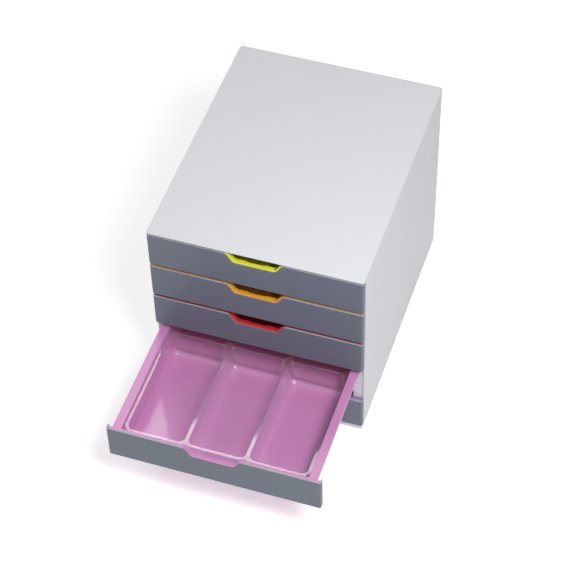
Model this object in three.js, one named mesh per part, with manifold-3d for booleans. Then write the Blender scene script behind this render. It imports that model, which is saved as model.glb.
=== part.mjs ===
// Desktop file drawer: a light casing with five pull-out drawers, the fourth standing open with a clear insert.
// Millimetres. +X is to the right seen from the front, +Y to the rear, +Z up.
// The origin is the centre of the base plate's underside, midway between the casing's front and rear.
import * as THREE from 'three';
import { mergeVertices } from 'three/addons/utils/BufferGeometryUtils.js';
import Module from 'manifold-3d';

const wasm = await Module();
wasm.setup();

// Casing
const casingWidth = 280;
const casingDepth = 356;
const casingHeight = 290.8;
const shellWall = 3;
const casingCornerRadius = 4;
const topEdgeBevel = 0.8;
const topLipThickness = 1.8;
const seatGap = 0.3;
const baseThickness = 3.5;
const baseLipRise = 1.8;
const backThickness = 3;
const backInset = 0.6;

// Base plate underside
const ribWidth = 14;
const pocketDepth = 1.2;
const pocketMargin = 40;
const pocketRadius = 8;

// Rubber feet
const footRadius = 8;
const footDrop = 1.2;
const footRecessDepth = 0.8;
const footEdge = 0.8;
const footInset = 22;

// Drawers
const drawerCount = 5;
const openDrawer = 4;
const openTravel = 175;
const fullTravel = 240;
const frontDepth = 8;
const frontGap = 5;
const topGap = 1;
const bottomGap = 0.8;

// Slate front panel, a shallow cap over the tray's front plate
const frontSkin = 2;
const frontCornerRadius = 3.5;
const clipDepth = 1.3;
const clipReach = 1.6;
const clipHeight = 11;
const clipInset = 6;

// Finger notch in the top edge of each front
const notchTopWidth = 74;
const notchBottomWidth = 56;
const notchDepth = 15;
const notchMouthRadius = 4;
const notchFloorRadius = 4.5;

// Tray
const plateThickness = 3.2;
const plateTopDrop = 0.5;
const trayWall = 2;
const trayFloorClearance = 2.6;
const trayDraft = 1.5;
const traySideRoom = 15.5;
const trayRearGap = 9.4;
const trayCornerRadius = 7;
const trayFloorRadius = 4;
const rimDrop = 3;
const rimThickness = 2.2;
const rimReach = 9.5;
const rearRimReach = 6;
const rimEdgeRun = 2.5;
const rimEdgeDrop = 1.2;

// Coloured gutter that lines the finger notch
const gutterWall = 2.2;
const gutterLength = 7;
const gutterSetback = 0.4;
const gutterSlope = 0.15;
const scoopWidth = 26;
const scoopDepth = 2.6;

// Runner panels
const panelWall = 2;
const facePlateThickness = 2;
const trayClearance = 1.1;
const railThickness = 1.8;
const runningGap = 0.3;
const upperGap = 0.7;
const tongueBottom = 2.5;
const tongueHeight = 18.5;
const tongueWidth = 6.5;
const tongueSlot = 2;
const gateHoleRadius = 1.1;
const gateHoleRise = 6.5;

// Stop lugs on the trays
const lugBite = 2.2;
const lugLength = 7;
const lugBottom = 8;
const lugHeight = 8;
const stopClearance = 0.5;

// Clear organiser insert
const insertWall = 1.4;
const insertSideGap = 0.6;
const insertFrontGap = 3.5;
const insertRimWidth = 4.3;
const insertTopDrop = 4.5;
const insertColumns = 3;
const troughDraft = 1.2;
const troughFloorRadius = 7;
const troughCornerRadius = 8;
const dividerWidth = 5;
const partitionWall = 1.4;
const partitionShare = 0.501;

// One overrun serves every cut
const overrun = 5;
const cornerSteps = 5;
const filletSteps = 3;

// Places that follow from the driving dimensions
const casingFront = -casingDepth / 2;
const casingRear = casingDepth / 2;
const halfWidth = casingWidth / 2;
const topUnderside = casingHeight - shellWall;
const wallFront = casingFront + frontDepth;
const lowestFront = baseThickness + bottomGap;
const pitch = (topUnderside - topGap + frontGap - lowestFront) / drawerCount;
const frontHeight = pitch - frontGap;
const trayHalf = halfWidth - traySideRoom;
const plateFront = casingFront + frontSkin + seatGap;
const plateRear = plateFront + plateThickness;
const backRear = casingRear - backInset;
const backFront = backRear - backThickness;
const trayRear = backFront - trayRearGap;
const rimTop = frontHeight - rimDrop;
const trayFloorTop = trayFloorClearance + trayWall;
const railEdge = trayHalf + trayClearance;
const panelOuter = halfWidth - shellWall - seatGap;
const panelInner = panelOuter - panelWall;
const facePlateRear = wallFront + facePlateThickness;
const gutterRear = casingFront + gutterSetback + gutterLength;

const rowBottom = (row) => lowestFront + (drawerCount - row) * pitch;

function solidOf(geometry) {
  const bare = geometry.clone();
  bare.deleteAttribute('normal');
  bare.deleteAttribute('uv');
  const merged = mergeVertices(bare);
  const vertProperties = new Float32Array(merged.attributes.position.array);
  const triVerts = new Uint32Array(merged.index.array);
  return new wasm.Manifold(new wasm.Mesh({ numProp: 3, vertProperties, triVerts }));
}

function namedMesh(name, solid, material) {
  const { vertProperties, triVerts } = solid.getMesh();
  const geometry = new THREE.BufferGeometry();
  geometry.setAttribute('position', new THREE.BufferAttribute(vertProperties, 3));
  geometry.setIndex(new THREE.BufferAttribute(triVerts, 1));
  geometry.computeVertexNormals();
  const mesh = new THREE.Mesh(geometry, material);
  mesh.name = name;
  return mesh;
}

function unite(solids) {
  return solids.reduce((whole, piece) => whole.add(piece));
}

function box(low, high) {
  const geometry = new THREE.BoxGeometry(high[0] - low[0], high[1] - low[1], high[2] - low[2]);
  geometry.translate((low[0] + high[0]) / 2, (low[1] + high[1]) / 2, (low[2] + high[2]) / 2);
  return solidOf(geometry);
}

function extrude(shape, depth) {
  return new THREE.ExtrudeGeometry(shape, { depth, bevelEnabled: false, curveSegments: cornerSteps });
}

// Solid over an outline drawn in plan.
function standing(shape, bottom, top) {
  const geometry = extrude(shape, top - bottom);
  geometry.translate(0, 0, bottom);
  return solidOf(geometry);
}

// Solid along Y over an outline drawn as seen from the front.
function lying(shape, front, rear) {
  const geometry = extrude(shape, rear - front);
  geometry.rotateX(Math.PI / 2);
  geometry.translate(0, rear, 0);
  return solidOf(geometry);
}

// Plan of a board that is symmetric about X = 0, with rounded front and rear corners.
function boardPlan(half, front, rear, frontRadius, rearRadius) {
  const shape = new THREE.Shape();
  shape.moveTo(-half, front + frontRadius);
  shape.quadraticCurveTo(-half, front, -half + frontRadius, front);
  shape.lineTo(half - frontRadius, front);
  shape.quadraticCurveTo(half, front, half, front + frontRadius);
  shape.lineTo(half, rear - rearRadius);
  shape.quadraticCurveTo(half, rear, half - rearRadius, rear);
  shape.lineTo(-half + rearRadius, rear);
  shape.quadraticCurveTo(-half, rear, -half, rear - rearRadius);
  shape.closePath();
  return shape;
}

// Ring of points round a rounded rectangle, counter-clockwise from above.
function roundedRing(outline, height) {
  const { left, right, front, rear, radius } = outline;
  const corners = [
    [right - radius, rear - radius, 0],
    [left + radius, rear - radius, 1],
    [left + radius, front + radius, 2],
    [right - radius, front + radius, 3],
  ];
  const ring = [];
  for (const [x, y, quarter] of corners) {
    for (let step = 0; step <= cornerSteps; step += 1) {
      const angle = (Math.PI / 2) * (quarter + step / cornerSteps);
      ring.push([x + radius * Math.cos(angle), y + radius * Math.sin(angle), height]);
    }
  }
  return ring;
}

function inset(outline, amount) {
  return {
    left: outline.left + amount,
    right: outline.right - amount,
    front: outline.front + amount,
    rear: outline.rear - amount,
    radius: outline.radius,
  };
}

// Solid lofted through rings that all have the same number of points.
function loft(rings) {
  const count = rings[0].length;
  const last = (rings.length - 1) * count;
  const indices = [];
  for (let start = 0; start < last; start += count) {
    for (let point = 0; point < count; point += 1) {
      const here = start + point;
      const next = start + ((point + 1) % count);
      indices.push(here, next, next + count, here, next + count, here + count);
    }
  }
  for (let point = 1; point < count - 1; point += 1) {
    indices.push(0, point + 1, point);
    indices.push(last, last + point, last + point + 1);
  }
  const geometry = new THREE.BufferGeometry();
  geometry.setAttribute('position', new THREE.Float32BufferAttribute(rings.flat(2), 3));
  geometry.setIndex(indices);
  return solidOf(geometry);
}

// Drafted tub with a rounded edge round its floor. Its outline is given at the top.
function tub(outline, floor, top, draft, floorRadius, above) {
  const rings = [];
  for (let step = 0; step <= filletSteps; step += 1) {
    const angle = (Math.PI / 2) * (step / filletSteps);
    const rise = floorRadius * (1 - Math.cos(angle));
    const taper = draft * (1 - rise / (top - floor));
    rings.push(roundedRing(inset(outline, taper + floorRadius * (1 - Math.sin(angle))), floor + rise));
  }
  rings.push(roundedRing(outline, top));
  if (above > 0) {
    rings.push(roundedRing(outline, top + above));
  }
  return loft(rings);
}

function mirrored(solid) {
  return solid.mirror([1, 0, 0]);
}

// Finger notch seen from the front, drawn from the panel's top edge down and narrowed by an inset.
function notchShape(narrowing) {
  const flankRun = (notchTopWidth - notchBottomWidth) / 2;
  const flankLength = Math.hypot(flankRun, notchDepth);
  const topHalf = notchTopWidth / 2 - (narrowing * flankLength) / notchDepth;
  const depth = notchDepth - narrowing;
  const bottomHalf = topHalf - (depth * flankRun) / notchDepth;
  const mouth = notchMouthRadius + narrowing;
  const corner = notchFloorRadius - narrowing / 2;
  const alongX = flankRun / flankLength;
  const alongZ = notchDepth / flankLength;
  const top = frontHeight;
  const bottom = frontHeight - depth;
  const shape = new THREE.Shape();
  shape.moveTo(topHalf + mouth, top + overrun);
  shape.lineTo(-topHalf - mouth, top + overrun);
  shape.lineTo(-topHalf - mouth, top);
  shape.quadraticCurveTo(-topHalf, top, -topHalf + mouth * alongX, top - mouth * alongZ);
  shape.lineTo(-bottomHalf - corner * alongX, bottom + corner * alongZ);
  shape.quadraticCurveTo(-bottomHalf, bottom, -bottomHalf + corner, bottom);
  shape.lineTo(bottomHalf - corner, bottom);
  shape.quadraticCurveTo(bottomHalf, bottom, bottomHalf + corner * alongX, bottom + corner * alongZ);
  shape.lineTo(topHalf - mouth * alongX, top - mouth * alongZ);
  shape.quadraticCurveTo(topHalf, top, topHalf + mouth, top);
  shape.closePath();
  return shape;
}

// Solid along Y over a shape, sinking towards the rear by the gutter's slope from the plate's front.
function sloping(shape, front, rear) {
  const geometry = extrude(shape, rear - front);
  geometry.rotateX(Math.PI / 2);
  geometry.translate(0, rear - plateFront, 0);
  const shear = new THREE.Matrix4().makeShear(0, 0, 0, -gutterSlope, 0, 0);
  geometry.applyMatrix4(shear);
  geometry.translate(0, plateFront, 0);
  return solidOf(geometry);
}

// Slate front panel, open at the top and rear, with the notch and the clips that grip the tray's plate.
function frontPanel() {
  const outside = boardPlan(halfWidth, casingFront, wallFront - seatGap, frontCornerRadius, 0);
  const innerHalf = halfWidth - frontSkin;
  const innerRadius = frontCornerRadius - frontSkin;
  const inside = boardPlan(innerHalf, casingFront + frontSkin, wallFront + overrun, innerRadius, 0);
  let panel = standing(outside, 0, frontHeight);
  panel = panel.subtract(standing(inside, frontSkin, frontHeight + overrun));
  panel = panel.subtract(lying(notchShape(0), casingFront - overrun, plateFront));
  const clipFront = plateRear + seatGap;
  for (const bottom of [clipInset, frontHeight - clipInset - clipHeight]) {
    const low = [innerHalf - clipReach, clipFront, bottom];
    const high = [innerHalf + frontSkin / 2, clipFront + clipDepth, bottom + clipHeight];
    const clip = box(low, high);
    panel = unite([panel, clip, mirrored(clip)]);
  }
  return panel;
}

// The lowest front stops above the base plate's raised lip and leaves its floor out.
function lowestFrontPanel(panel) {
  const lipSpace = box(
    [-casingWidth, casingFront - overrun, -overrun],
    [casingWidth, wallFront, baseLipRise],
  );
  const innerHalf = halfWidth - frontSkin;
  const floorSpace = box(
    [-innerHalf, casingFront + frontSkin, -overrun],
    [innerHalf, wallFront, frontSkin + seatGap],
  );
  return panel.subtract(lipSpace.add(floorSpace));
}

// Stop lug on the right of a tray: square at its front, ramped at its rear.
function stopLug() {
  const root = trayHalf - trayDraft - trayWall / 2;
  const reach = railEdge + lugBite;
  const front = facePlateRear + fullTravel + stopClearance;
  const shape = new THREE.Shape();
  shape.moveTo(root, front);
  shape.lineTo(reach, front);
  shape.lineTo(reach, front + lugLength / 3);
  shape.lineTo(root, front + lugLength);
  shape.closePath();
  return standing(shape, lugBottom, lugBottom + lugHeight);
}

// Flange round the sides and rear of a tray, with its outer top edge rounded off.
function rimFlange() {
  const outline = {
    left: -trayHalf - rimReach,
    right: trayHalf + rimReach,
    front: plateFront - trayCornerRadius,
    rear: trayRear + rearRimReach,
    radius: trayCornerRadius,
  };
  const rings = [roundedRing(outline, rimTop - rimThickness)];
  for (let step = 0; step <= filletSteps; step += 1) {
    const angle = (Math.PI / 2) * (step / filletSteps);
    const run = rimEdgeRun * (1 - Math.cos(angle));
    rings.push(roundedRing(inset(outline, run), rimTop - rimEdgeDrop * (1 - Math.sin(angle))));
  }
  return loft(rings).trimByPlane([0, 1, 0], plateRear - plateThickness / 2);
}

// Coloured tray: front plate, drafted tub, rim flange that runs in the channels, gutter and stop lugs.
function trayBody() {
  const plateHalf = halfWidth - frontSkin - seatGap;
  const plateTop = frontHeight - plateTopDrop;
  const plateRadius = frontCornerRadius - frontSkin;
  const plate = standing(
    boardPlan(plateHalf, plateFront, plateRear, plateRadius, 0),
    frontSkin + seatGap,
    plateTop,
  );
  const outline = {
    left: -trayHalf,
    right: trayHalf,
    front: plateFront + seatGap,
    rear: trayRear,
    radius: trayCornerRadius,
  };
  const inner = {
    left: -trayHalf + trayWall,
    right: trayHalf - trayWall,
    front: plateRear,
    rear: trayRear - trayWall,
    radius: trayCornerRadius - trayWall,
  };
  const outerTub = tub(outline, trayFloorClearance, rimTop, trayDraft, trayFloorRadius, 0);
  const innerFloorRadius = trayFloorRadius - trayWall;
  const hollow = tub(inner, trayFloorTop, rimTop, trayDraft, innerFloorRadius, overrun);
  const gutterFront = casingFront + gutterSetback;
  const below = [-notchTopWidth, gutterFront - overrun, 0];
  const above = [notchTopWidth, gutterRear + overrun, plateTop];
  const gutter = sloping(notchShape(seatGap), gutterFront, gutterRear).intersect(box(below, above));
  const fingerSpace = sloping(
    notchShape(seatGap + gutterWall),
    gutterFront - overrun,
    gutterRear + overrun,
  );
  const scoopRadius = ((scoopWidth / 2) ** 2 + scoopDepth ** 2) / (2 * scoopDepth);
  const scoopGeometry = new THREE.CylinderGeometry(scoopRadius, scoopRadius, frontHeight, 72);
  scoopGeometry.rotateX(Math.PI / 2);
  scoopGeometry.translate(0, gutterRear + scoopRadius - scoopDepth, frontHeight);
  const lug = stopLug();
  const shell = unite([plate, outerTub, rimFlange()]).subtract(hollow);
  const lined = shell.add(gutter.subtract(solidOf(scoopGeometry))).subtract(fingerSpace);
  return unite([lined, lug, mirrored(lug)]);
}

// Clear insert: two rows of troughs hung from a flat rim, hollow under the dividers.
function organiserInsert() {
  const top = rimTop - insertTopDrop;
  const floor = trayFloorTop + seatGap;
  const outline = {
    left: -trayHalf + trayWall + insertSideGap,
    right: trayHalf - trayWall - insertSideGap,
    front: plateRear + insertFrontGap,
    rear: trayRear - trayWall - insertSideGap,
    radius: troughCornerRadius + insertRimWidth,
  };
  const rim = loft([roundedRing(outline, top - insertWall), roundedRing(outline, top)]);
  const field = { ...inset(outline, insertRimWidth), radius: troughCornerRadius };
  const columnPitch = (field.right - field.left + dividerWidth) / insertColumns;
  const partitionFront = field.front + partitionShare * (field.rear - field.front);
  const rowsOfTroughs = [
    { front: field.front, rear: partitionFront },
    { front: partitionFront + partitionWall, rear: field.rear },
  ];
  const skins = [];
  const hollows = [];
  for (let column = 0; column < insertColumns; column += 1) {
    const left = field.left + column * columnPitch;
    const right = left + columnPitch - dividerWidth;
    for (const { front, rear } of rowsOfTroughs) {
      const mouth = { left, right, front, rear, radius: troughCornerRadius };
      const skin = { ...inset(mouth, -insertWall), radius: troughCornerRadius + insertWall };
      skins.push(tub(skin, floor, top, troughDraft, troughFloorRadius + insertWall, 0));
      hollows.push(tub(mouth, floor + insertWall, top, troughDraft, troughFloorRadius, overrun));
    }
  }
  return unite([rim, ...skins]).subtract(unite(hollows));
}

// Shell of the casing: both sides and the top, which runs out over the fronts.
function housingShell() {
  const plan = boardPlan(halfWidth, casingFront, casingRear, casingCornerRadius, casingCornerRadius);
  const geometry = new THREE.ExtrudeGeometry(plan, {
    depth: casingHeight - topEdgeBevel,
    bevelEnabled: true,
    bevelThickness: topEdgeBevel,
    bevelSize: topEdgeBevel,
    bevelOffset: -topEdgeBevel,
    bevelSegments: 2,
    curveSegments: cornerSteps,
  });
  const block = solidOf(geometry);
  const innerHalf = halfWidth - shellWall;
  const cavity = box(
    [-innerHalf, casingFront - overrun, -overrun],
    [innerHalf, casingRear + overrun, topUnderside],
  );
  const underside = box(
    [-casingWidth, -casingDepth, -overrun],
    [casingWidth, casingDepth, 0],
  );
  const frontCut = box(
    [-casingWidth, casingFront - overrun, -overrun],
    [casingWidth, wallFront, casingHeight - topLipThickness],
  );
  return block.subtract(unite([cavity, underside, frontCut]));
}

function backPanel() {
  const half = halfWidth - shellWall - seatGap;
  return box(
    [-half, backFront, baseThickness + seatGap],
    [half, backRear, topUnderside - seatGap],
  );
}

const footPlaces = [
  ['foot_front_left', -halfWidth + footInset, casingFront + footInset],
  ['foot_front_right', halfWidth - footInset, casingFront + footInset],
  ['foot_rear_left', -halfWidth + footInset, casingRear - footInset],
  ['foot_rear_right', halfWidth - footInset, casingRear - footInset],
];

// Base plate with the lip below the lowest front, recesses for the feet and pockets between its ribs.
function basePlate() {
  const lip = boardPlan(halfWidth, casingFront, wallFront - seatGap, casingCornerRadius, 0);
  const innerHalf = halfWidth - shellWall - seatGap;
  const floor = boardPlan(innerHalf, wallFront - frontDepth / 2, backRear, 0, 0);
  let base = unite([standing(lip, 0, baseThickness + baseLipRise), standing(floor, 0, baseThickness)]);
  for (const [, x, y] of footPlaces) {
    const recess = new THREE.CylinderGeometry(footRadius + seatGap, footRadius + seatGap, footRecessDepth * 2, 32);
    recess.rotateX(Math.PI / 2);
    recess.translate(x, y, 0);
    base = base.subtract(solidOf(recess));
  }
  const farX = halfWidth - pocketMargin;
  const farY = casingRear - pocketMargin;
  for (const [left, right] of [[-farX, -ribWidth / 2], [ribWidth / 2, farX]]) {
    for (const [front, rear] of [[-farY, -ribWidth / 2], [ribWidth / 2, farY]]) {
      const outline = { left, right, front, rear, radius: pocketRadius };
      base = base.subtract(loft([roundedRing(outline, -overrun), roundedRing(outline, pocketDepth)]));
    }
  }
  return base;
}

function foot() {
  const top = footRecessDepth - seatGap;
  const profile = [
    new THREE.Vector2(0, -footDrop),
    new THREE.Vector2(footRadius - footEdge, -footDrop),
    new THREE.Vector2(footRadius, -footDrop + footEdge),
    new THREE.Vector2(footRadius, top),
    new THREE.Vector2(0, top),
  ];
  const geometry = new THREE.LatheGeometry(profile, 32);
  geometry.rotateX(Math.PI / 2);
  return solidOf(geometry);
}

// Heights of one row's channel, which holds the tray's rim flange.
function channel(row) {
  const flangeTop = rowBottom(row) + rimTop;
  const lowerTop = flangeTop - rimThickness - runningGap;
  const upperBottom = flangeTop + upperGap;
  return {
    lowerBottom: lowerTop - railThickness,
    lowerTop,
    upperBottom,
    upperTop: upperBottom + railThickness,
  };
}

// Rows from the lowest drawer up.
const rowsUpward = Array.from({ length: drawerCount }, (unused, index) => drawerCount - index);

// Section of the right runner panel, seen from the front: a wall with two rails for each drawer.
function railSection(bottom, top) {
  const shape = new THREE.Shape();
  shape.moveTo(panelOuter, bottom);
  shape.lineTo(panelOuter, top);
  shape.lineTo(panelInner, top);
  for (const row of [...rowsUpward].reverse()) {
    const { lowerBottom, lowerTop, upperBottom, upperTop } = channel(row);
    shape.lineTo(panelInner, upperTop);
    shape.lineTo(railEdge, upperTop);
    shape.lineTo(railEdge, upperBottom);
    shape.lineTo(panelInner, upperBottom);
    shape.lineTo(panelInner, lowerTop);
    shape.lineTo(railEdge, lowerTop);
    shape.lineTo(railEdge, lowerBottom);
    shape.lineTo(panelInner, lowerBottom);
  }
  shape.lineTo(panelInner, bottom);
  shape.closePath();
  return shape;
}

// Face plate of the right runner panel, with a mouth for each channel and the slots that free each tongue.
function facePlate(bottom, top) {
  const shape = new THREE.Shape();
  shape.moveTo(panelOuter, bottom);
  shape.lineTo(panelOuter, top);
  shape.lineTo(railEdge, top);
  const tongueRoot = railEdge + tongueWidth;
  for (const row of [...rowsUpward].reverse()) {
    const { lowerTop, upperBottom } = channel(row);
    const tongueLow = rowBottom(row) + tongueBottom;
    const tongueHigh = tongueLow + tongueHeight;
    shape.lineTo(railEdge, upperBottom);
    shape.lineTo(panelInner, upperBottom);
    shape.lineTo(panelInner, lowerTop);
    shape.lineTo(railEdge, lowerTop);
    for (const slotTop of [tongueHigh + tongueSlot, tongueLow]) {
      shape.lineTo(railEdge, slotTop);
      shape.lineTo(tongueRoot, slotTop);
      shape.lineTo(tongueRoot, slotTop - tongueSlot);
      shape.lineTo(railEdge, slotTop - tongueSlot);
    }
    const hole = new THREE.Path();
    const holeHeight = tongueHigh + gateHoleRise;
    hole.absarc(tongueRoot + gateHoleRadius * 2, holeHeight, gateHoleRadius, 0, Math.PI * 2, true);
    shape.holes.push(hole);
  }
  shape.lineTo(railEdge, bottom);
  shape.closePath();
  return shape;
}

function runnerPanel() {
  const bottom = baseThickness + seatGap;
  const top = topUnderside - seatGap;
  const rails = lying(railSection(bottom, top), facePlateRear - facePlateThickness / 2, backFront - seatGap);
  const plate = lying(facePlate(bottom, top), wallFront, facePlateRear);
  return rails.add(plate);
}

const casingPlastic = new THREE.MeshStandardMaterial({ color: 0xd9dbde, roughness: 0.45, metalness: 0 });
const slatePlastic = new THREE.MeshStandardMaterial({ color: 0x6b7180, roughness: 0.42, metalness: 0 });
const footRubber = new THREE.MeshStandardMaterial({ color: 0x2b2c2e, roughness: 0.9, metalness: 0 });
const clearPlastic = new THREE.MeshStandardMaterial({
  color: 0xe8eef2,
  roughness: 0.08,
  metalness: 0,
  transparent: true,
  opacity: 0.35,
});
const trayColours = [0xe9e43a, 0xf0a02c, 0xd03038, 0xc673b4, 0x9d7fbe];

const fileDrawer = new THREE.Group();
const runner = runnerPanel();
fileDrawer.add(namedMesh('housing_shell', housingShell(), casingPlastic));
fileDrawer.add(namedMesh('back_panel', backPanel(), casingPlastic));
fileDrawer.add(namedMesh('base_plate', basePlate(), casingPlastic));
fileDrawer.add(namedMesh('runner_panel_right', runner, casingPlastic));
fileDrawer.add(namedMesh('runner_panel_left', mirrored(runner), casingPlastic));
for (const [name, x, y] of footPlaces) {
  const pad = namedMesh(name, foot(), footRubber);
  pad.position.set(x, y, 0);
  fileDrawer.add(pad);
}

const tray = trayBody();
const front = frontPanel();
for (let row = 1; row <= drawerCount; row += 1) {
  const drawer = new THREE.Group();
  const isOpen = row === openDrawer;
  const trayPlastic = new THREE.MeshStandardMaterial({
    color: trayColours[row - 1],
    roughness: 0.35,
    metalness: 0,
  });
  drawer.add(namedMesh(`tray_${row}`, tray, trayPlastic));
  const panel = row === drawerCount ? lowestFrontPanel(front) : front;
  drawer.add(namedMesh(`front_${row}`, panel, slatePlastic));
  if (isOpen) {
    drawer.add(namedMesh('organiser_insert', organiserInsert(), clearPlastic));
  }
  drawer.position.set(0, isOpen ? -openTravel : 0, rowBottom(row));
  fileDrawer.add(drawer);
}

export default fileDrawer;
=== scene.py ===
import math

import bmesh
import bpy
from mathutils import Matrix, Vector


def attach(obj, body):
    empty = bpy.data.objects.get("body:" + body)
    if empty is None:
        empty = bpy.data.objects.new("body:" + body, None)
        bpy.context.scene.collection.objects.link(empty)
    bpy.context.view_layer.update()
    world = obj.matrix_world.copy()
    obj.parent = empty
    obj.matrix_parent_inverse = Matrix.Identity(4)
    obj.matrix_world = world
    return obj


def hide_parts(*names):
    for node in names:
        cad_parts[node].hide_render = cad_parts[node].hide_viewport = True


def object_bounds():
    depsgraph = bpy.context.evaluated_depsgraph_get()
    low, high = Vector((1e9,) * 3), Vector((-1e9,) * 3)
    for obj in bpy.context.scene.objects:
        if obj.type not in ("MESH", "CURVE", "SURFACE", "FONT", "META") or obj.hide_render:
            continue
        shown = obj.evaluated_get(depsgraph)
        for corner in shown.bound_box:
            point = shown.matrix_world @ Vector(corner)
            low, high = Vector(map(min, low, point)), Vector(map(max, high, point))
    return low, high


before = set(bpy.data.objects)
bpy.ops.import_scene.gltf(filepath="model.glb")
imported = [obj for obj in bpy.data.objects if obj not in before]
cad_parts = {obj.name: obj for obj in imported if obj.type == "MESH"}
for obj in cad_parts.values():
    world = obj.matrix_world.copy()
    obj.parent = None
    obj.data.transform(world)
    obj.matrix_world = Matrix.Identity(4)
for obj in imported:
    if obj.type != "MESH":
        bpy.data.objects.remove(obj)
cad_low, cad_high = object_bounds()

MM = 0.001
GROUND = cad_low.z
WHITE = (1.0, 1.0, 1.0, 1.0)

# Piece mesh: joining up the CAD's triangles, and how wide each piece's edges are rounded
WELD_REACH = 0.002 * MM
FLAT_ANGLE = math.radians(0.5)
SHARP_ANGLE = math.radians(32.0)
SHADING_ANGLE = math.radians(40.0)
ROUNDING_STEPS = 2
SHELL_ROUNDING = 0.35 * MM
BACK_ROUNDING = 0.4 * MM
BASE_ROUNDING = 0.35 * MM
RUNNER_ROUNDING = 0.2 * MM
FOOT_ROUNDING = 0.25 * MM
TRAY_ROUNDING = 0.3 * MM
FRONT_ROUNDING = 0.5 * MM
INSERT_ROUNDING = 0.25 * MM

# Highlight marks: a per-corner attribute on the rounded edges and level tops, which the finishes read to
# paint highlights there
HIGHLIGHT_MARK = "edge"
TOP_BAND = 2.0 * MM
TOP_FACING = 0.9

# Light and floor
ROOM_LIGHT = 0.22
FLOOR_GLOW = 0.42
FLOOR_HALF_WIDTH = 4.0
CLEAR_LAYERS = 32

# Camera, fitted to the casing's and the open front's edges in the photograph
CAMERA_PLACE = (0.5549, -1.6188, 2.0271)
CAMERA_AZIMUTH = math.radians(19.68)
CAMERA_ELEVATION = math.radians(49.201)
CAMERA_ROLL = math.radians(-1.788)
CAMERA_LENS = 121.25
CAMERA_SENSOR = 36.0


class Field:
    """A socket's value over the surface. Arithmetic on it adds Math nodes."""

    def __init__(self, nodes, socket):
        self.nodes = nodes
        self.socket = socket

    def math(self, operation, *others):
        return self.nodes.node("ShaderNodeMath", {"operation": operation}, [self, *others])

    def __add__(self, other):
        return self.math("ADD", other)

    def __radd__(self, other):
        return self.math("ADD", other)

    def __sub__(self, other):
        return self.math("SUBTRACT", other)

    def __rsub__(self, other):
        return self.nodes.node("ShaderNodeMath", {"operation": "SUBTRACT"}, [other, self])

    def __mul__(self, other):
        return self.math("MULTIPLY", other)

    def __rmul__(self, other):
        return self.math("MULTIPLY", other)

    def least(self, other):
        return self.math("MINIMUM", other)

    def most(self, other):
        return self.math("MAXIMUM", other)

    def rise(self, start, end):
        """0 up to start, 1 from end on, smooth between them."""
        settings = {"interpolation_type": "SMOOTHSTEP"}
        return self.nodes.node("ShaderNodeMapRange", settings, [self, start, end, 0.0, 1.0])


class Nodes:
    """A node tree, and the one method that adds to it."""

    def __init__(self, tree):
        self.tree = tree

    def node(self, kind, settings=None, inputs=(), out=0):
        """Adds a node: its settings first, then its sockets' values or links, by order or by name."""
        made = self.tree.nodes.new(kind)
        for key, value in (settings or {}).items():
            setattr(made, key, value)
        pairs = inputs.items() if isinstance(inputs, dict) else enumerate(inputs)
        for key, value in pairs:
            self.feed(made.inputs[key], value)
        return Field(self, made.outputs[out])

    def feed(self, socket, value):
        if isinstance(value, Field):
            self.tree.links.new(value.socket, socket)
        else:
            socket.default_value = value

    def seen_directly(self):
        """1 for rays from the camera, through clear plastic or off gloss, and 0 for light on the object."""
        seen = self.node("ShaderNodeLightPath", out="Is Camera Ray")
        seen = seen.most(self.node("ShaderNodeLightPath", out="Is Transmission Ray"))
        return seen.most(self.node("ShaderNodeLightPath", out="Is Glossy Ray"))


class Finish(Nodes):
    """One procedural material on Object coordinates."""

    def __init__(self, name):
        self.material = bpy.data.materials.new(name)
        self.material.use_nodes = True
        super().__init__(self.material.node_tree)
        self.shader = self.tree.nodes["Principled BSDF"]
        self.surface = self.tree.nodes["Material Output"].inputs["Surface"]
        self.place = self.node("ShaderNodeTexCoord", out="Object")

    def set(self, **sockets):
        """Shader sockets by name, with underscores for spaces."""
        for key, value in sockets.items():
            self.feed(self.shader.inputs[key.replace("_", " ")], value)

    def noise(self, scale, detail=2.0, roughness=0.5, distortion=0.0, stretch=None):
        where = self.place
        if stretch:
            where = self.node("ShaderNodeMapping", inputs={"Vector": where, "Scale": stretch})
        values = {
            "Vector": where,
            "Scale": scale,
            "Detail": detail,
            "Roughness": roughness,
            "Distortion": distortion,
        }
        return self.node("ShaderNodeTexNoise", inputs=values, out="Fac")

    def highlight_marks(self):
        return self.node("ShaderNodeAttribute", {"attribute_name": HIGHLIGHT_MARK}, out="Fac")

    def blend(self, amount, first, second):
        """A colour between two colours, each a colour or a field."""
        ends = {0: amount, 6: first, 7: second}
        return self.node("ShaderNodeMix", {"data_type": "RGBA"}, ends, out=2)

    def bump(self, height, distance, strength=1.0):
        values = {"Strength": strength, "Distance": distance, "Height": height}
        return self.node("ShaderNodeBump", inputs=values)

    def mould_grain(self, grain, depth):
        """Spark-eroded mould grain: fine pits over a slow unevenness of the wall."""
        pits = self.noise(grain, detail=3.0, roughness=0.6)
        swell = self.noise(45.0, detail=1.0)
        return self.bump(pits * 0.7 + swell * 0.5, depth, strength=0.5)


def linear(red, green, blue):
    """A colour written as 0 to 255 display values."""
    def channel(value):
        share = value / 255.0
        return share / 12.92 if share <= 0.04045 else ((share + 0.055) / 1.055) ** 2.4

    return (channel(red), channel(green), channel(blue), 1.0)


def shade(colour, factor):
    return (*(share * factor for share in colour[:3]), 1.0)


def lighter(colour, share):
    """The colour with this share of the way to white added."""
    return (*(part + (1.0 - part) * share for part in colour[:3]), 1.0)


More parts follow.
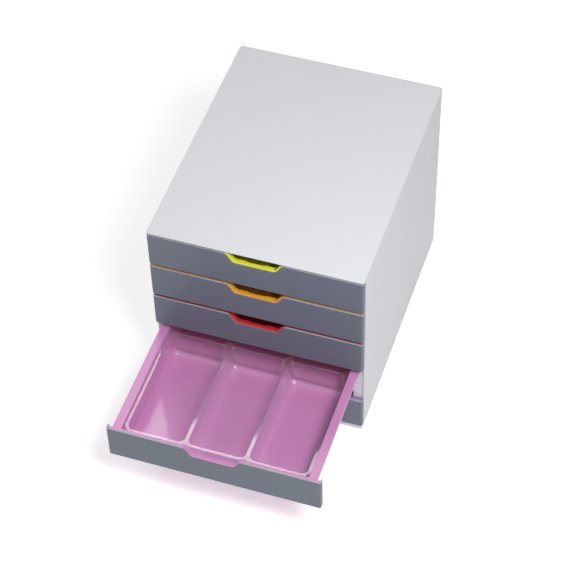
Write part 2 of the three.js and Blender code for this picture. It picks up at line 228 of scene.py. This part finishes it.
CASING_GREY = linear(217, 219, 223)
CASING_HIGHLIGHT = linear(232, 234, 238)
SLATE_GREY = linear(101, 110, 123)
SLATE_HIGHLIGHT = linear(190, 194, 203)
RUBBER_BLACK = linear(43, 44, 46)
RUBBER_DUST = linear(92, 92, 94)
CLEAR_TINT = linear(240, 238, 246)
CLEAR_BRIGHT = linear(252, 251, 254)
FLOOR_WHITE = linear(252, 252, 252)

# The trays from top to bottom: material slot and colour
TRAY_FINISHES = {
    1: ("tray_yellow", linear(240, 237, 60)),
    2: ("tray_orange", linear(246, 172, 52)),
    3: ("tray_red", linear(206, 50, 60)),
    4: ("tray_orchid", linear(210, 140, 194)),
    5: ("tray_violet", linear(157, 127, 190)),
}


def moulded_plastic(
    name,
    colour,
    highlight_colour,
    highlight_share,
    roughness,
    drift=0.03,
    gloss=0.45,
    coat=0.0,
    grain=1900.0,
    grain_depth=0.05 * MM,
):
    """Injection-moulded plastic: slow tone drift, mould grain, faint scuffs, and painted highlights on the
    marked edges and level tops, which are also a little smoother.
    """
    finish = Finish(name)
    cloud = finish.noise(6.0, detail=3.0, roughness=0.55)
    speckle = finish.noise(900.0)
    tone = finish.blend(cloud, shade(colour, 1.0 - drift), shade(colour, 1.0 + drift))
    scuff = finish.noise(240.0, detail=4.0, roughness=0.7, distortion=0.6, stretch=(1.0, 0.22, 1.0))
    rubbed = scuff.rise(0.62, 0.78)
    tone = finish.blend(rubbed * 0.05 + speckle * 0.03, tone, shade(colour, 1.25))
    painted_highlight = finish.highlight_marks() * (finish.noise(90.0, detail=3.0) * 0.5 + 0.7)
    # Painted highlight: the marked edges and level tops are mixed toward a lighter colour.
    tone = finish.blend((painted_highlight * highlight_share).least(1.0), tone, highlight_colour)
    patches = finish.noise(22.0)
    finish.set(
        Base_Color=tone,
        Roughness=patches * 0.08 + (roughness - 0.04) + rubbed * 0.06 - painted_highlight * 0.1,
        Normal=finish.mould_grain(grain, grain_depth),
        Coat_Weight=coat,
        Coat_Roughness=0.34,
        Specular_IOR_Level=gloss,
    )
    return finish


def clear_plastic(name):
    """Clear styrene: only its gloss shows, more at grazing angles and along its rounded edges."""
    finish = Finish(name)
    grazing = finish.node("ShaderNodeLayerWeight", inputs=[0.5], out="Facing")
    steep = grazing * grazing
    rim_gloss = steep * steep * grazing * 0.8
    haze = finish.noise(60.0)
    finish.set(
        Base_Color=finish.blend(haze, CLEAR_TINT, CLEAR_BRIGHT),
        Roughness=haze * 0.04 + 0.07,
        Metallic=0.8,
        Alpha=(rim_gloss + 0.025 + haze * 0.015 + finish.highlight_marks() * 0.3).least(1.0),
    )
    return finish


def foot_rubber(name):
    """Matt rubber with dust in its grain."""
    finish = Finish(name)
    grain = finish.noise(1400.0, detail=3.0)
    dust = finish.noise(120.0, detail=4.0, roughness=0.65)
    finish.set(
        Base_Color=finish.blend(dust.rise(0.5, 0.8) * 0.3, RUBBER_BLACK, RUBBER_DUST),
        Roughness=grain * 0.15 + 0.75,
        Normal=finish.bump(grain, 0.08 * MM),
    )
    return finish


finishes = {
    "casing_plastic": moulded_plastic(
        "casing_plastic", CASING_GREY, CASING_HIGHLIGHT, 0.5, roughness=0.46, drift=0.015, gloss=0.3
    ),
    "slate_plastic": moulded_plastic("slate_plastic", SLATE_GREY, SLATE_HIGHLIGHT, 0.75, roughness=0.42),
    "clear_plastic": clear_plastic("clear_styrene"),
    "foot_rubber": foot_rubber("foot_rubber"),
}
for slot, colour in TRAY_FINISHES.values():
    finishes[slot] = moulded_plastic(
        slot,
        colour,
        lighter(colour, 0.45),
        0.6,
        roughness=0.3,
        drift=0.02,
        coat=0.45,
        grain=1500.0,
        grain_depth=0.02 * MM,
    )


def rounded_piece(node, piece_name, body, slot, width, join_flats=True, mark=1.0, top_highlight=0.0):
    """The node's own shape, joined up, with its sharp edges slightly rounded and marked for painted
    highlights, in place of the node.
    """
    shape = bmesh.new()
    shape.from_mesh(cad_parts[node].data)
    bmesh.ops.remove_doubles(shape, verts=shape.verts, dist=WELD_REACH)
    if join_flats:
        bmesh.ops.dissolve_limit(shape, angle_limit=FLAT_ANGLE, verts=shape.verts, edges=shape.edges)
    sharp = [edge for edge in shape.edges if edge.is_manifold and edge.calc_face_angle(0.0) > SHARP_ANGLE]
    rounded = bmesh.ops.bevel(
        shape,
        geom=[edge for edge in sharp if edge.is_convex],
        offset=width,
        offset_type="OFFSET",
        segments=ROUNDING_STEPS,
        profile=0.5,
        affect="EDGES",
        clamp_overlap=False,
        material=-1,
    )
    mark_highlights(shape, rounded["faces"], mark, top_highlight)
    mesh = bpy.data.meshes.new(piece_name)
    shape.to_mesh(mesh)
    shape.free()
    mesh.set_sharp_from_angle(angle=SHADING_ANGLE)
    mesh.materials.append(finishes[slot].material)
    piece = bpy.data.objects.new(piece_name, mesh)
    bpy.context.scene.collection.objects.link(piece)
    flats = piece.modifiers.new("flats_lead", "WEIGHTED_NORMAL")
    flats.mode = "FACE_AREA"
    flats.weight = 100
    flats.keep_sharp = True
    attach(piece, body)
    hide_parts(node)


def mark_highlights(shape, rounded_faces, mark, top_highlight):
    """Marks the middle of the rounded edges, and the level faces at the top of the piece, where the
    finishes paint highlights.
    """
    marks = shape.verts.layers.float.new(HIGHLIGHT_MARK)
    strips = {face for face in rounded_faces if face.is_valid}
    for corner in shape.verts:
        if strips.issuperset(corner.link_faces):
            corner[marks] = mark
    shape.normal_update()
    top = max(corner.co.z for corner in shape.verts) - TOP_BAND
    for face in shape.faces:
        face.smooth = True
        if face.normal.z > TOP_FACING and face.calc_center_median().z > top:
            for corner in face.verts:
                corner[marks] = max(corner[marks], top_highlight)


rounded_piece("housing_shell", "casing_shell", "casing", "casing_plastic", SHELL_ROUNDING)
rounded_piece("back_panel", "casing_back", "casing", "casing_plastic", BACK_ROUNDING)
rounded_piece("base_plate", "casing_base", "casing", "casing_plastic", BASE_ROUNDING)
for side in ("left", "right"):
    rounded_piece(f"runner_panel_{side}", f"runners_{side}", "casing", "casing_plastic", RUNNER_ROUNDING)
for corner in ("front_left", "front_right", "rear_left", "rear_right"):
    rounded_piece(f"foot_{corner}", f"rubber_foot_{corner}", "casing", "foot_rubber", FOOT_ROUNDING)
for row, (slot, colour) in TRAY_FINISHES.items():
    body = f"drawer_{row}"
    rounded_piece(f"tray_{row}", f"drawer_tray_{row}", body, slot, TRAY_ROUNDING)
    # The fronts' level tops carry the strongest painted highlight, their rounded edges a weaker one.
    rounded_piece(
        f"front_{row}", f"drawer_front_{row}", body, "slate_plastic", FRONT_ROUNDING, mark=0.4, top_highlight=1.0
    )
rounded_piece(
    "organiser_insert",
    "clear_insert",
    "drawer_4",
    "clear_plastic",
    INSERT_ROUNDING,
    join_flats=False,
    top_highlight=0.4,
)


def studio_floor():
    """A wide pale floor that reads as white to the camera and keeps the object's shadow."""
    shape = bmesh.new()
    bmesh.ops.create_grid(shape, x_segments=4, y_segments=4, size=FLOOR_HALF_WIDTH)
    bmesh.ops.translate(shape, verts=shape.verts, vec=(0.0, 0.0, GROUND))
    mesh = bpy.data.meshes.new("studio_floor")
    shape.to_mesh(mesh)
    shape.free()
    finish = Finish("floor_paint")
    finish.set(Base_Color=FLOOR_WHITE, Roughness=0.9, Specular_IOR_Level=0.1)
    lit = Field(finish, finish.shader.outputs[0])
    glow = finish.node("ShaderNodeEmission", inputs=[WHITE, FLOOR_GLOW])
    raised = finish.node("ShaderNodeAddShader", inputs=[lit, glow])
    shown = finish.node("ShaderNodeMixShader", inputs=[finish.seen_directly(), lit, raised])
    finish.feed(finish.surface, shown)
    mesh.materials.append(finish.material)
    plane = bpy.data.objects.new("studio_floor", mesh)
    bpy.context.scene.collection.objects.link(plane)


def studio_world():
    """White to the camera and in gloss, and a low even light on the object."""
    world = bpy.data.worlds.new("studio")
    world.use_nodes = True
    nodes = Nodes(world.node_tree)
    background = world.node_tree.nodes["Background"]
    nodes.feed(background.inputs["Color"], WHITE)
    nodes.feed(background.inputs["Strength"], nodes.seen_directly() * (1.0 - ROOM_LIGHT) + ROOM_LIGHT)
    bpy.context.scene.world = world


def softbox(name, place, aim, width, height, power):
    light = bpy.data.lights.new(name, "AREA")
    light.shape = "RECTANGLE"
    light.size = width
    light.size_y = height
    light.energy = power
    lamp = bpy.data.objects.new(name, light)
    lamp.location = place
    toward = Vector(aim) - Vector(place)
    lamp.rotation_mode = "QUATERNION"
    lamp.rotation_quaternion = toward.to_track_quat("-Z", "Y")
    bpy.context.scene.collection.objects.link(lamp)


def studio_camera():
    level = math.cos(CAMERA_ELEVATION)
    back = Vector(
        (math.sin(CAMERA_AZIMUTH) * level, -math.cos(CAMERA_AZIMUTH) * level, math.sin(CAMERA_ELEVATION))
    )
    right = (-back).cross(Vector((0.0, 0.0, 1.0))).normalized()
    up = right.cross(-back)
    turn = Matrix((right, up, back)).transposed() @ Matrix.Rotation(CAMERA_ROLL, 3, "Z")
    data = bpy.data.cameras.new("studio_camera")
    data.sensor_width = CAMERA_SENSOR
    data.lens = CAMERA_LENS
    camera = bpy.data.objects.new("studio_camera", data)
    camera.matrix_world = Matrix.Translation(CAMERA_PLACE) @ turn.to_4x4()
    bpy.context.scene.collection.objects.link(camera)
    bpy.context.scene.camera = camera


studio_floor()
studio_world()
# Softboxes: place, aim, width, height, watts. The last one lights the left side and the back.
softbox("key_softbox", (0.56, -0.68, 1.3), (0.0, -0.15, 0.15), 0.5, 0.5, 13.2)
softbox("front_softbox", (0.3, -1.9, 0.7), (0.0, -0.1, 0.15), 1.2, 0.8, 3.0)
softbox("sheen_softbox", (-1.0, 2.2, 2.9), (0.0, -0.1, 0.25), 2.2, 1.8, 28.3)
softbox("fill_softbox", (-1.8, 1.5, 0.5), (0.0, 0.05, 0.12), 1.4, 0.8, 9.0)
studio_camera()
bpy.context.scene.view_settings.view_transform = "Standard"
# The insert has more than eight clear surfaces in a row, Blender's own limit.
bpy.context.scene.cycles.transparent_max_bounces = CLEAR_LAYERS

bpy.context.view_layer.update()
